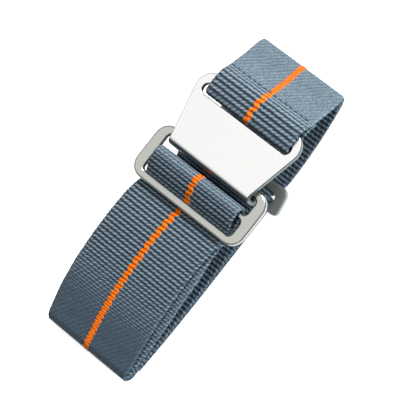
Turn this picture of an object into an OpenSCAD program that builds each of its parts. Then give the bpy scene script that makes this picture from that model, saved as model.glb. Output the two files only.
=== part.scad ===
// Elastic hook-clasp watch strap, closed and lying on its back.
// X runs along the strap towards the end behind the hook, Y across the webbing, Z up.
// The origin is under the middle of the strap, at the level it rests on.

/* [Webbing] */
// Width of the webbing
web_w = 20; // [16:0.5:24]
// Thickness of one ply of the webbing
web_t = 0.65; // [0.5:0.05:0.75]
// Clearance between two plies that lie on each other
ply_gap = 0.06; // [0.04:0.01:0.1]
// Clearance between the webbing and the metal it wraps
wrap_gap = 0.08; // [0.05:0.01:0.1]
// Length of the closed strap from end to end
loop_l = 60.2; // [58:0.2:70]
// Width of the woven centre stripe
stripe_w = 1.2; // [0.8:0.1:2]
// Depth of the woven centre stripe
stripe_d = 0.2; // [0.1:0.05:0.3]

/* [Hook] */
// Thickness of the hook plate
hook_t = 0.9; // [0.7:0.1:1]
// Width of the hook at the sewn end
hook_wide = 26.1; // [25.6:0.1:28]
// Width of the hook at the jaw
hook_narrow = 19.4; // [16:0.1:20]
// Length of the flat of the hook
hook_l = 13.1; // [12:0.1:15]
// Corner radius at the sewn end
hook_corner_r = 3; // [2:0.1:3.2]
// Width of the bar that the webbing is sewn round
hook_bar = 2.2; // [1.8:0.1:2.6]
// Width of the slot
hook_slot = 2; // [1.8:0.1:2.2]
// Outer radius of the bend into the jaw
jaw_r = 1.25; // [1.1:0.05:1.35]
// Height of the space inside the jaw
jaw_h = 1.9; // [1.8:0.05:1.95]
// Length of the lip under the ring, from the inside of the jaw
lip_l = 1.2; // [1.1:0.05:1.5]

/* [Ring] */
// Length of the ring across the strap
ring_w = 26.3; // [25.5:0.1:28]
// Outer corner radius of the ring
ring_corner_r = 2.8; // [2:0.1:3.5]
// Thickness of the ring
ring_t = 1.1; // [0.9:0.05:1.15]
// Width of the bare bar and of the bar in the jaw
ring_bar = 1.5; // [1.2:0.05:1.6]
// Width of the centre bar that the webbing goes round
ring_centre_bar = 1; // [0.8:0.05:1.05]
// Width of the bars at the ring's two ends
ring_side_bar = 2.4; // [2:0.1:2.6]
// Height of the ring's underside above the table
ring_z = 6; // [5.9:0.05:6.2]

/* [Slider] */
// Length of the slider across the strap
slider_w = 25.4; // [24.8:0.1:27]
// Size of the slider along the strap
slider_l = 5.05; // [4.9:0.05:5.3]
// Thickness of the slider
slider_t = 0.9; // [0.7:0.05:1]
// Width of the slider's slot
slider_slot = 1.75; // [1.65:0.05:1.9]
// Corner radius of the slider
slider_corner_r = 1.2; // [0.8:0.1:1.6]
// Angle that the slider leans at, its right-hand bar up
slider_tilt = 20; // [16:1:22]

/* [Seams] */
// Diameter of the sewing thread
thread_d = 0.24; // [0.16:0.02:0.3]
// Number of stitches in a seam
stitches = 15; // [9:2:21]

/* [Hidden] */
$fn = 48;

// Ply spacing and the height of the middle of a ply that lies on the table
pitch = web_t + ply_gap;
half = web_t / 2;
// Width of the slots and windows that the webbing passes through
window_w = web_w + 1;
left_end = -loop_l / 2;
right_end = loop_l / 2;
// Gap between two sections of the webbing where one body ends and the next starts
cut_gap = 0.1;

// The webbing's underside is flat between these places and curls up beyond them
flat_from = -10;
flat_to = 13.5;
left_curl_r = 180;
right_curl_r = 49;
function under_z(x) = x > flat_to ? pow(x - flat_to, 2) / (2 * right_curl_r)
    : x < flat_from ? pow(x - flat_from, 2) / (2 * left_curl_r) : 0;

// Places along the strap
ring_left = -1.7;
window_left = 3.3;
ring_mid_x = ring_left + ring_bar + window_left + ring_centre_bar / 2;
jaw_bar_x = 7.35;
ring_right = jaw_bar_x + ring_bar;
ring_mid_z = ring_z + ring_t / 2;
ring_gap = 0.2;
jaw_left = 5.95;
hook_z = ring_z + ring_t + ring_gap;
hook_flat_x = jaw_left + jaw_r;
hook_right = hook_flat_x + hook_l;
slider_x = 9.4;

module across(w) rotate([90, 0, 0]) linear_extrude(w, center = true) children();

// A smooth curve through points, each stretch drawn as steps pieces
function through(p, steps) = let(n = len(p) - 1)
    concat([for (i = [0 : n - 1], k = [0 : steps - 1])
        let(a = p[max(i - 1, 0)], b = p[i], c = p[i + 1], d = p[min(i + 2, n)], s = k / steps, l = norm(c - b),
            from = l * (c - a) / (norm(b - a) + l), to = l * (d - b) / (l + norm(d - c)))
        (2 * s * s * s - 3 * s * s + 1) * b + (s * s * s - 2 * s * s + s) * from
            + (3 * s * s - 2 * s * s * s) * c + (s * s * s - s * s) * to], [p[n]]);
function arc(centre, r, from, to, steps) =
    [for (k = [0 : steps]) let(a = from + (to - from) * k / steps) centre + r * [cos(a), sin(a)]];
function unit(v) = norm(v) > 0 ? v / norm(v) : [0, 0];
function normal_at(p, i) = let(d = unit(p[min(i + 1, len(p) - 1)] - p[i]) + unit(p[i] - p[max(i - 1, 0)]))
    [-d[1], d[0]] / norm(d);
function beside(p, d) = [for (i = [0 : len(p) - 1]) p[i] + d * normal_at(p, i)];
function backwards(p) = [for (i = [len(p) - 1 : -1 : 0]) p[i]];

// One ply along a middle line, between two distances from it, positive to the left of its direction
module ply(p, from, to) polygon(concat(beside(p, from), backwards(beside(p, to))));

// The webbing with the groove for its stripe on one side: side 1 is left of the line's direction
module web(p, side, middle = 0) difference() {
    across(web_w) children();
    across(stripe_w) intersection() {
        children();
        ply(p, middle + side * (half - stripe_d), middle + side * (half + 0.05));
    }
}
module stripe(p, side, middle = 0) color("orangered") across(stripe_w) intersection() {
    children();
    ply(p, middle + side * (half - stripe_d), middle + side * half);
}

// A region of the side view between two places along the strap
module from_to(x0, x1, z0 = -1, z1 = 20) translate([x0, z0]) square([x1 - x0, z1 - z0]);

// Hook: the fold of webbing round its bar, then the upper front down to the right-hand end
hook_mid_z = hook_z + hook_t / 2;
wrap_r = hook_t / 2 + wrap_gap + half;
bar_x = hook_right - hook_bar;
fold_x = bar_x - 0.6;
end_r = half + ply_gap;
end_x = right_end - end_r - half;
end_z = under_z(end_x) + web_t + ply_gap;
// The upper front hangs between the hook's plate and the fold, and its places are shares of that run
front_start = [hook_right + 2.3, hook_mid_z - 0.6];
front_end = [end_x - 1.1, end_z + 0.85];
function on_front(share_x, share_z) = [front_start[0] + share_x * (front_end[0] - front_start[0]),
    front_start[1] + share_z * (front_end[1] - front_start[1])];
front_cut = on_front(0.264, 0)[0];
end_cut = on_front(0.773, 0)[0];
front_line = through([[fold_x, hook_mid_z + wrap_r], [hook_right - 0.1, hook_mid_z + wrap_r],
    [hook_right + 0.95, hook_mid_z + wrap_r - 0.35], front_start, on_front(0.264, 0.332), on_front(0.65, 0.731),
    front_end, [end_x, end_z] + end_r * [cos(62), sin(62)]], 4);
hook_seam_x = hook_right + 2.8;
under_line = through([[hook_seam_x + 0.3, hook_mid_z - 2.05], [hook_right + 1.9, hook_mid_z - 1.3], [hook_right + 0.6, hook_mid_z - wrap_r - 0.02],
    [hook_right - 0.6, hook_mid_z - wrap_r], [fold_x, hook_mid_z - wrap_r]], 4);
hook_line = concat(under_line, arc([fold_x, hook_mid_z], wrap_r, 261, 99, 18), front_line);

// The single ply along the back, from the slider to the right-hand end
slider_right = slider_x + 4;
back_line = [for (x = [end_x - 0.2 : -1 : slider_right - 1]) [x, under_z(x) + half]];
loop_line = concat(hook_line, arc([end_x, end_z], end_r, 52, -62, 10), back_line);

// The left-hand end: the inner ply's middle line, with the outer ply one pitch outside it
left_r = half + ply_gap;
left_x = left_end + left_r + pitch + half;
left_z = under_z(left_x) + left_r + pitch + half;
ring_cut = -5;
back_cut = -14;
tail_end = slider_x - 4.4;
slider_left = tail_end - 1.9;
tail_cut = tail_end - 1.1;
// The lower front rises from the fold to the ring, and its places are shares of that run
rise_start = [left_x + 0.6, left_z + left_r + 0.07];
rise_end = [-6, ring_z - 0.87];
function on_rise(share_x, share_z) = [rise_start[0] + share_x * (rise_end[0] - rise_start[0]),
    rise_start[1] + share_z * (rise_end[1] - rise_start[1])];
left_line = concat(
    [for (x = [6 : -1 : left_x + 0.6]) [x, under_z(x) + half + pitch]],
    arc([left_x, left_z], left_r, 264, 97, 14),
    through([rise_start, on_rise(0.072, 0.079), on_rise(0.23, 0.297), on_rise(0.456, 0.625), on_rise(0.66, 0.866),
        on_rise(0.842, 0.997), rise_end, [-3, ring_z - 0.97]], 4));

// The webbing round the ring's centre bar, from the outer ply over the bar to the inner ply
eye_r = norm([ring_centre_bar, ring_t]) / 2 + wrap_gap / 2 + half;
eye = [ring_mid_x, ring_mid_z];
ring_line = concat(
    through([[-7, ring_z - 0.14], [-6, ring_z - 0.16], [-4.5, ring_z - 0.2], [-3, ring_z - 0.3], [-1.5, ring_z - 0.57],
     [-0.4, ring_z - 0.54], [0.8, ring_z - 0.02], [ring_mid_x - 1.5, ring_mid_z + 0.3],
     eye + eye_r * [cos(125), sin(125)]], 4),
    arc(eye, eye_r, 116, -88, 18),
    through([eye + eye_r * [cos(-97), sin(-97)], [1.6, ring_z - 0.86], [0.4, ring_z - 1.12], [-0.4, ring_z - 1.25],
     [-1.5, ring_z - 1.28], [-3, ring_z - 1.01], [-4.5, ring_z - 0.91], [-6, ring_z - 0.87], [-7, ring_z - 0.87]], 4));

// Slider: its own line runs along the plate, positive towards the raised bar
slider_bar = (slider_l - slider_slot) / 2;
slider_wrap_r = slider_t / 2 + wrap_gap + half;
slider_z = slider_l / 2 * sin(slider_tilt) + (slider_wrap_r + half) * cos(slider_tilt) + 0.15;
bend_r = wrap_gap + half;
function on_slider(p) = [slider_x, slider_z] + p[0] * [cos(slider_tilt), sin(slider_tilt)]
    + p[1] * [-sin(slider_tilt), cos(slider_tilt)];
function all_on_slider(points) = [for (p = points) on_slider(p)];
tail_line = concat(
    through(concat([[tail_cut, half], [tail_cut + 1, half], [slider_x - slider_l / 2 - 0.3, half + 0.02]],
        all_on_slider([[-slider_l / 2 + 0.9, -slider_wrap_r], [-slider_slot / 2 - 0.1, -slider_wrap_r]])), 4),
    all_on_slider(arc([-slider_slot / 2, -slider_t / 2], bend_r, 270, 360, 9)),
    all_on_slider(arc([-slider_slot / 2, slider_t / 2], bend_r, 0, 90, 9)),
    through(concat(all_on_slider([[-slider_slot / 2 - 0.1, slider_wrap_r], [-slider_l / 2, slider_wrap_r]]),
        [[tail_end + 0.8, half + pitch + 0.22], [tail_end, half + pitch]]), 4));
through_gap = pitch + 0.03;
corner_r = bend_r + 0.05;
through_line = concat(
    through(concat([[slider_left, half + pitch], [slider_left + 0.65, half + pitch + 0.12],
        [tail_end - 0.45, half + 2 * pitch - 0.1], [tail_end + 0.7, half + 2 * pitch + 0.45]],
        all_on_slider([[-slider_l / 2, slider_wrap_r + through_gap],
            [-slider_slot / 2 - 0.1, slider_wrap_r + through_gap]])), 4),
    all_on_slider(arc([-slider_slot / 2, slider_t / 2], bend_r + through_gap, 90, 5, 12)),
    all_on_slider(arc([slider_slot / 2, -slider_t / 2], corner_r, 180, 225, 5)),
    through([[slider_right - 2.2, half + 0.68], [slider_right - 1, half + 0.12], [slider_right, half]], 4));

module hook_fold_outline() intersection() {
    ply(loop_line, -half, half);
    from_to(0, front_cut, 5);
}

module hook_fold() color("slategray") difference() {
    across(web_w) hook_fold_outline();
    across(stripe_w) intersection() {
        ply(front_line, half - stripe_d, half + 1);
        from_to(fold_x, front_cut);
    }
}

module hook_stripe() color("orangered") across(stripe_w) intersection() {
    ply(front_line, half - stripe_d, half);
    from_to(fold_x, front_cut);
}

module front_web() color("slategray") web(front_line, 1) intersection() {
    ply(front_line, -half, half);
    from_to(front_cut + cut_gap, end_cut, end_z);
}

module front_stripe() stripe(front_line, 1) from_to(front_cut + cut_gap, end_cut, end_z);

module end_fold() color("slategray") web(loop_line, 1) intersection() {
    ply(loop_line, -half, half);
    from_to(end_cut + cut_gap, right_end + 1);
}

module end_stripe() stripe(loop_line, 1) from_to(end_cut + cut_gap, right_end + 1);

module back_web() color("slategray") web(loop_line, 1) intersection() {
    ply(loop_line, -half, half);
    from_to(slider_right + cut_gap, end_cut, -1, end_z - 0.1);
}

module back_stripe() stripe(loop_line, 1) from_to(slider_right + cut_gap, end_cut, -1, end_z - 0.1);

// The hook's flat is a trapezoid with round corners at the sewn end
module hook_flat() {
    slope = (hook_wide - hook_narrow) / 2 / hook_l;
    side_angle = atan(slope);
    cx = hook_right - hook_corner_r;
    cy = hook_wide / 2 - slope * hook_corner_r - hook_corner_r / cos(side_angle);
    tangent = [cx - hook_corner_r * sin(side_angle), cy + hook_corner_r * cos(side_angle)];
    for (side = [1, -1]) translate([cx, side * cy]) circle(hook_corner_r);
    polygon([[hook_flat_x, -hook_narrow / 2], [tangent[0], -tangent[1]], [cx, -cy], [hook_right, -cy], [hook_right, cy],
        [cx, cy], tangent, [hook_flat_x, hook_narrow / 2]]);
}

module hook_slot_shape() {
    run = window_w / 2 - hook_slot / 2;
    mid = bar_x - hook_slot / 2;
    translate([mid - hook_slot / 2, -run]) square([hook_slot, 2 * run]);
    for (side = [1, -1]) translate([mid, side * run]) circle(hook_slot / 2);
}

// Side view of the curl: over the ring's bar, down beside it and back under it
module jaw_outline() {
    inside_r = jaw_r - hook_t;
    top = hook_z + hook_t;
    bottom = hook_z - jaw_h - hook_t;
    inside_x = jaw_left + hook_t;
    difference() {
        union() {
            for (z = [top - jaw_r, bottom + jaw_r]) translate([hook_flat_x, z]) circle(jaw_r);
            translate([jaw_left, bottom + jaw_r]) square([jaw_r, top - bottom - 2 * jaw_r]);
            translate([hook_flat_x, bottom]) square([inside_x + lip_l - hook_flat_x, hook_t]);
        }
        for (z = [hook_z - inside_r, hook_z - jaw_h + inside_r]) translate([hook_flat_x, z]) circle(inside_r);
        translate([inside_x, hook_z - jaw_h + inside_r]) square([inside_r, jaw_h - 2 * inside_r]);
        translate([hook_flat_x, hook_z - jaw_h]) square([2 * jaw_r, jaw_h]);
        translate([hook_flat_x, hook_z]) square([2 * jaw_r, hook_t]);
    }
}

module hook() color("gainsboro") {
    translate([0, 0, hook_z]) linear_extrude(hook_t) difference() {
        hook_flat();
        hook_slot_shape();
    }
    across(hook_narrow) jaw_outline();
}

// One row of lockstitches across the webbing, seen from the top and from below
module seam(x, top, bottom, width) {
    step = width / stitches;
    length = 0.62 * step;
    for (i = [0 : stitches - 1]) translate([x, (i + 0.5) * step - width / 2, 0]) {
        for (z = [top, bottom]) translate([0, 0, z]) rotate([90, 0, 0]) cylinder(h = length, d = thread_d, center = true);
        for (side = [1, -1]) translate([0, side * (length / 2 - thread_d), bottom])
            cylinder(h = top - bottom, d = 0.8 * thread_d);
    }
}

seam_margin = 0.6;
module hook_seam() color("lightsteelblue") seam(hook_seam_x, lookup(hook_seam_x, front_line) + half + thread_d / 2,
    lookup(hook_seam_x, under_line) - half - thread_d / 2, web_w - 2 * seam_margin);

module plate(length, width, corner_r) {
    for (sx = [1, -1], sy = [1, -1]) translate([sx * (length / 2 - corner_r), sy * (width / 2 - corner_r)]) circle(corner_r);
    square([length - 2 * corner_r, width], center = true);
    square([length, width - 2 * corner_r], center = true);
}

module slider() color("silver") translate([slider_x, 0, slider_z]) rotate([0, -slider_tilt, 0])
    translate([0, 0, -slider_t / 2]) linear_extrude(slider_t) difference() {
        plate(slider_l, slider_w, slider_corner_r);
        plate(slider_slot, window_w, slider_slot / 2 - 0.01);
    }

module slider_web() color("slategray") across(web_w) ply(through_line, -half, half);

module tail_fold() color("slategray") across(web_w) ply(tail_line, -half, half);

module tail_seam() color("lightsteelblue") seam(tail_end + 0.6, web_t + pitch + thread_d / 2, thread_d / 2,
    web_w - 2 * seam_margin);

module inner_back_web() color("slategray") across(web_w) intersection() {
    ply(left_line, -half, half);
    from_to(back_cut, slider_left - cut_gap, -1, left_z);
}

module inner_end_web() color("slategray") across(web_w) intersection() {
    ply(left_line, -half, half);
    union() {
        from_to(left_end - 1, back_cut - cut_gap);
        from_to(back_cut - cut_gap, ring_cut, left_z);
    }
}

module outer_back_web() color("slategray") web(left_line, 1, pitch) intersection() {
    ply(left_line, pitch - half, pitch + half);
    from_to(back_cut, tail_cut - cut_gap, -1, left_z);
}

module tail_stripe() stripe(left_line, 1, pitch) from_to(back_cut, tail_cut - cut_gap, -1, left_z);

module outer_end_region() {
    from_to(left_end - 1, back_cut - cut_gap);
    from_to(back_cut - cut_gap, ring_cut, left_z);
}

module outer_end_web() color("slategray") web(left_line, 1, pitch) intersection() {
    ply(left_line, pitch - half, pitch + half);
    outer_end_region();
}

module outer_end_stripe() stripe(left_line, 1, pitch) outer_end_region();

module ring_web() color("slategray") web(ring_line, 1) intersection() {
    ply(ring_line, -half, half);
    from_to(ring_cut + cut_gap, ring_right);
}

module ring_stripe() stripe(ring_line, 1) from_to(ring_cut + cut_gap, ring_right);

module ring_window(left, right) translate([(left + right) / 2, 0]) plate(right - left, ring_w - 2 * ring_side_bar, 0.8);

module ring() color("gainsboro") translate([0, 0, ring_z]) linear_extrude(ring_t) difference() {
    translate([(ring_left + ring_right) / 2, 0]) plate(ring_right - ring_left, ring_w, ring_corner_r);
    ring_window(ring_left + ring_bar, ring_mid_x - ring_centre_bar / 2);
    ring_window(ring_mid_x + ring_centre_bar / 2, ring_right - ring_bar);
}

hook();
hook_fold();
hook_stripe();
hook_seam();
front_web();
front_stripe();
end_fold();
end_stripe();
back_web();
back_stripe();
slider();
slider_web();
tail_fold();
tail_seam();
inner_back_web();
inner_end_web();
outer_back_web();
tail_stripe();
outer_end_web();
outer_end_stripe();
ring_web();
ring_stripe();
ring();
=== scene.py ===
# %% [markdown]
# An elastic watch strap, closed and lying on its back.
#
# The strap is one long ribbon of ribbed webbing with three steel fittings. The bodies, the joints and the places of
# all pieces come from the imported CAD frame. This file gives every piece the form and finish that the eye meets: ribs,
# yarns, stitches, rounded steel edges and a fine satin finish.

# %% Load the frame
import math

import bmesh
import bpy
import numpy as np
from mathutils import Matrix, Vector


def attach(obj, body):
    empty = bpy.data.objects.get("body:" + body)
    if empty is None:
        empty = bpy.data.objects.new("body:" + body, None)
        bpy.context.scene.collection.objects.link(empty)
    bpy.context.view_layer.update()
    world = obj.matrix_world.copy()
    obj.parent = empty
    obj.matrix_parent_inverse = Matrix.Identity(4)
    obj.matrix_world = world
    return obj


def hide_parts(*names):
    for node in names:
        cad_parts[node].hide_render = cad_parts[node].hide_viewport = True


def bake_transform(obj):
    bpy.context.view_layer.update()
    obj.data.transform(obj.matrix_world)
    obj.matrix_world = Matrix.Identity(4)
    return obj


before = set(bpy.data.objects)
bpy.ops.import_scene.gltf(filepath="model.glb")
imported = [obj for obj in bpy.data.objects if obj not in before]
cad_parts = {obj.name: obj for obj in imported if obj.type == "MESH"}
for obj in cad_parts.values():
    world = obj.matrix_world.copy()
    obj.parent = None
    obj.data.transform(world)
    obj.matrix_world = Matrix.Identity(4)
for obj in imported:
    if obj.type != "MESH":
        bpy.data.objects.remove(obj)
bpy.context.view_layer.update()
MM = 0.001

# %% [markdown]
# The camera stands to the strap's right-hand side (-Y), 60 degrees above the floor, and is rolled so that the strap
# runs up to the right. A long lens a little over half a metre away keeps the strap's edges nearly parallel.

# %% Camera
CAMERA_ELEVATION = math.radians(60)
CAMERA_ROLL = math.radians(51.9)
CAMERA_DISTANCE = 600 * MM
VIEW_WIDTH = 67.8 * MM
VIEW_CENTRE = Vector((1.6, 2.0, 0)) * MM

back = Vector((0, -math.cos(CAMERA_ELEVATION), math.sin(CAMERA_ELEVATION)))
level = Vector((1, 0, 0))
raised = back.cross(level)
right = math.cos(CAMERA_ROLL) * level - math.sin(CAMERA_ROLL) * raised
up = back.cross(right)

camera_data = bpy.data.cameras.new("camera")
camera_data.sensor_width = 36
camera_data.lens = camera_data.sensor_width * CAMERA_DISTANCE / VIEW_WIDTH
camera_data.clip_start = 0.01
camera = bpy.data.objects.new("camera", camera_data)
bpy.context.scene.collection.objects.link(camera)
turned = Matrix((right, up, back)).transposed().to_4x4()
camera.matrix_world = Matrix.Translation(VIEW_CENTRE + back * CAMERA_DISTANCE) @ turned
bpy.context.scene.camera = camera
print("lens, mm:", round(camera_data.lens, 1))

# %% [markdown]
# Node trees are used for materials and for geometry. One small function adds a node, sets it up and links it, so that
# a tree reads as a list of its nodes. An sRGB hex colour is turned to linear light in one place, here.

# %% Helpers for node trees and colours


def add(tree, kind, inputs=None, **settings):
    node = tree.nodes.new(kind)
    for name, value in settings.items():
        setattr(node, name, value)
    for name, value in (inputs or {}).items():
        if isinstance(value, bpy.types.NodeSocket):
            tree.links.new(value, node.inputs[name])
        else:
            node.inputs[name].default_value = value
    return node.outputs


def linear(hex_colour):
    parts = [int(hex_colour[i:i + 2], 16) / 255 for i in (1, 3, 5)]
    return [c / 12.92 if c <= 0.04045 else ((c + 0.055) / 1.055) ** 2.4 for c in parts] + [1.0]


def new_material(name):
    material = bpy.data.materials.new(name)
    material.use_nodes = True
    material.node_tree.nodes.clear()
    return material, material.node_tree


def ramp_of(tree, factor, *stops):
    """A colour ramp between (place, hex colour) stops."""
    node = tree.nodes.new("ShaderNodeValToRGB")
    elements = node.color_ramp.elements
    while len(elements) < len(stops):
        elements.new(0.5)
    for element, (place, colour) in zip(elements, stops):
        element.position = place
        element.color = linear(colour)
    tree.links.new(factor, node.inputs["Fac"])
    return node.outputs["Color"]


# %% [markdown]
# The floor is a plain white sweep. Rays from the camera and from glossy steel see it a little brighter than it is
# lit, so it is white in the picture, yet it still takes the strap's soft shadow. The sky is bright overhead and dark
# near the horizon, which darkens the steel's edges in its reflections; the steel material adds painted shade on the
# edges as well. The side light reaches the strap's near edges and stays out of the steel's reflections.

# %% Floor and light
FLOOR_SIZE = 1.6
FLOOR_GLOW = 0.72
SKY_LIGHT_SHARE = 0.48


def make_floor():
    mesh = bpy.data.meshes.new("floor")
    half_side = FLOOR_SIZE / 2
    mesh.from_pydata([(x, y, 0) for x, y in ((-half_side, -half_side), (half_side, -half_side),
                                             (half_side, half_side), (-half_side, half_side))], [], [(0, 1, 2, 3)])
    floor = bpy.data.objects.new("floor", mesh)
    bpy.context.scene.collection.objects.link(floor)
    material, tree = new_material("matt white paper")
    path = add(tree, "ShaderNodeLightPath")
    seen = add(tree, "ShaderNodeMath", {0: path["Is Camera Ray"], 1: path["Is Glossy Ray"]}, operation="MAXIMUM")
    seen = add(tree, "ShaderNodeMath", {0: seen[0], 1: path["Is Transmission Ray"]}, operation="MAXIMUM")
    lift = add(tree, "ShaderNodeMath", {0: seen[0], 1: FLOOR_GLOW}, operation="MULTIPLY")
    paper = add(tree, "ShaderNodeBsdfDiffuse", {"Color": linear("#f4f4f4")})
    glow = add(tree, "ShaderNodeEmission", {"Color": linear("#ffffff"), "Strength": lift[0]})
    both = add(tree, "ShaderNodeAddShader", {0: paper[0], 1: glow[0]})
    add(tree, "ShaderNodeOutputMaterial", {"Surface": both[0]})
    mesh.materials.append(material)


def make_area_light(name, place, size, power, in_reflections=True):
    data = bpy.data.lights.new(name, "AREA")
    data.size = size
    data.energy = power
    light = bpy.data.objects.new(name, data)
    bpy.context.scene.collection.objects.link(light)
    light.visible_glossy = in_reflections
    light.location = place
    light.rotation_euler = (-Vector(place)).to_track_quat("-Z", "Y").to_euler()


def make_world():
    world = bpy.data.worlds.new("studio")
    bpy.context.scene.world = world
    world.use_nodes = True
    tree = world.node_tree
    tree.nodes.clear()
    path = add(tree, "ShaderNodeLightPath")
    direction = add(tree, "ShaderNodeSeparateXYZ", {0: add(tree, "ShaderNodeTexCoord")["Generated"]})
    overhead = add(tree, "ShaderNodeMapRange", {
        "Value": direction["Z"], "From Min": 0.35, "From Max": 0.82, "To Min": 0.05, "To Max": 1.0})["Result"]
    soft = add(tree, "ShaderNodeMath", {0: overhead, 1: SKY_LIGHT_SHARE}, operation="MULTIPLY")[0]
    glossy = add(tree, "ShaderNodeMix", {"Factor": path["Is Glossy Ray"], "A": soft, "B": overhead})["Result"]
    strength = add(tree, "ShaderNodeMix", {"Factor": path["Is Camera Ray"], "A": glossy, "B": 1.0})["Result"]
    sky = add(tree, "ShaderNodeBackground", {"Color": linear("#ffffff"), "Strength": strength})
    add(tree, "ShaderNodeOutputWorld", {"Surface": sky[0]})


make_floor()
make_world()
make_area_light("key light", (0.62, 0.1, 0.46), 0.25, 7.3)
make_area_light("fill light", (-0.45, -0.5, 0.6), 0.25, 0.25)
make_area_light("side light", (0.16, -0.62, 0.2), 0.35, 6.0, in_reflections=False)
bpy.context.scene.view_settings.view_transform = "Standard"

# %% [markdown]
# The webbing's route is the strap's real construction, so it is worked out from the same few sizes as the solids.
# From its sewn end the ribbon goes round the hook's bar, down the upper front, round the right-hand end, along the
# back, through the slider, round the left-hand end, up to the ring's centre bar and back the same way as a second
# layer, to its other end, which is folded round the slider's lower bar. Each route is a side view, in millimetres, of
# the middle of the ply.

# %% Sizes of the strap, in millimetres
WEB_W, WEB_T = 20, 0.65
PLY_GAP, WRAP_GAP = 0.06, 0.08
LOOP_L = 60.2
HOOK_T, HOOK_WIDE, HOOK_NARROW, HOOK_L, HOOK_CORNER_R = 0.9, 26.1, 19.4, 13.1, 3
HOOK_BAR, HOOK_SLOT = 2.2, 2
JAW_R, JAW_H, LIP_L = 1.25, 1.9, 1.2
RING_W, RING_CORNER_R, RING_T, RING_BAR, RING_CENTRE_BAR, RING_SIDE_BAR = 26.3, 2.8, 1.1, 1.5, 1, 2.4
RING_Z, RING_LEFT, WINDOW_LEFT, JAW_BAR_X = 6, -1.7, 3.3, 7.35
SLIDER_W, SLIDER_L, SLIDER_T, SLIDER_SLOT, SLIDER_CORNER_R = 25.4, 5.05, 0.9, 1.75, 1.2
SLIDER_X, SLIDER_TILT = 9.4, math.radians(20)
JAW_LEFT, RING_GAP = 5.95, 0.2
FLAT_FROM, FLAT_TO, LEFT_CURL_R, RIGHT_CURL_R = -10, 13.5, 180, 49
SLIDER_RIGHT = SLIDER_X + 4
TAIL_END = SLIDER_X - 4.4
SLIDER_LEFT, TAIL_CUT = TAIL_END - 1.9, TAIL_END - 1.1

PITCH = WEB_T + PLY_GAP
HALF = WEB_T / 2
WINDOW_W = WEB_W + 1
RING_MID_X = RING_LEFT + RING_BAR + WINDOW_LEFT + RING_CENTRE_BAR / 2
RING_MID_Z = RING_Z + RING_T / 2
RING_RIGHT = JAW_BAR_X + RING_BAR
HOOK_Z = RING_Z + RING_T + RING_GAP
HOOK_FLAT_X = JAW_LEFT + JAW_R
HOOK_RIGHT = HOOK_FLAT_X + HOOK_L
HOOK_MID_Z = HOOK_Z + HOOK_T / 2

# %% Lines in the side view


def under_z(x):
    if x > FLAT_TO:
        return (x - FLAT_TO) ** 2 / (2 * RIGHT_CURL_R)
    return (x - FLAT_FROM) ** 2 / (2 * LEFT_CURL_R) if x < FLAT_FROM else 0


def through(points, steps=6):
    """A smooth curve through points, each stretch drawn as steps pieces."""
    p = [np.array(q, float) for q in points]
    n = len(p) - 1
    line = []
    for i in range(n):
        a, b, c, d = p[max(i - 1, 0)], p[i], p[i + 1], p[min(i + 2, n)]
        length = np.linalg.norm(c - b)
        leave = length * (c - a) / (np.linalg.norm(b - a) + length)
        arrive = length * (d - b) / (length + np.linalg.norm(d - c))
        for k in range(steps):
            s = k / steps
            line.append((2 * s ** 3 - 3 * s ** 2 + 1) * b + (s ** 3 - 2 * s ** 2 + s) * leave
                        + (3 * s ** 2 - 2 * s ** 3) * c + (s ** 3 - s ** 2) * arrive)
    return line + [p[n]]


def arc(centre, r, start, end, steps=16):
    angles = np.radians(np.linspace(start, end, steps + 1))
    return [np.array((centre[0] + r * math.cos(a), centre[1] + r * math.sin(a))) for a in angles]


def beside(line, distance):
    """The line moved sideways, to the left of its direction."""
    p = np.array(line)
    step = np.diff(p, axis=0)
    step /= np.linalg.norm(step, axis=1)[:, None]
    along = np.vstack([step[:1], step[:-1] + step[1:], step[-1:]])
    along /= np.linalg.norm(along, axis=1)[:, None]
    return list(p + distance * np.column_stack([-along[:, 1], along[:, 0]]))


def spaced(route, step):
    """The route as points at equal steps, with the distance of each from the start."""
    p = np.array(route)
    lengths = np.linalg.norm(np.diff(p, axis=0), axis=1)
    keep = np.concatenate([[True], lengths > 0.01])
    p = p[keep]
    travelled = np.concatenate([[0], np.cumsum(np.linalg.norm(np.diff(p, axis=0), axis=1))])
    count = max(int(round(travelled[-1] / step)), 2)
    at = np.linspace(0, travelled[-1], count + 1)
    return np.column_stack([np.interp(at, travelled, p[:, 0]), np.interp(at, travelled, p[:, 1])]), at


def on_slider(points):
    """Points given along and square to the slider's plate, in the strap's side view."""
    c, s = math.cos(SLIDER_TILT), math.sin(SLIDER_TILT)
    return [np.array((SLIDER_X + a * c - b * s, SLIDER_Z + a * s + b * c)) for a, b in points]


# %% The hook's fold, the upper front and the single ply of the back
WRAP_R = HOOK_T / 2 + WRAP_GAP + HALF
FOLD_X = HOOK_RIGHT - HOOK_BAR - 0.6
END_R = HALF + PLY_GAP
END_X = LOOP_L / 2 - END_R - HALF
END_Z = under_z(END_X) + WEB_T + PLY_GAP
END_TOP = (END_X + END_R * math.cos(math.radians(62)), END_Z + END_R * math.sin(math.radians(62)))

HOOK_SEAM_X = HOOK_RIGHT + 2.8
FRONT_START = np.array((HOOK_RIGHT + 2.3, HOOK_MID_Z - 0.6))
FRONT_END = np.array((END_X - 1.1, END_Z + 0.85))


def on_front(share_x, share_z):
    """A place on the upper front, in shares of the run from the plate down to the fold."""
    return FRONT_START + (share_x, share_z) * (FRONT_END - FRONT_START)


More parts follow.
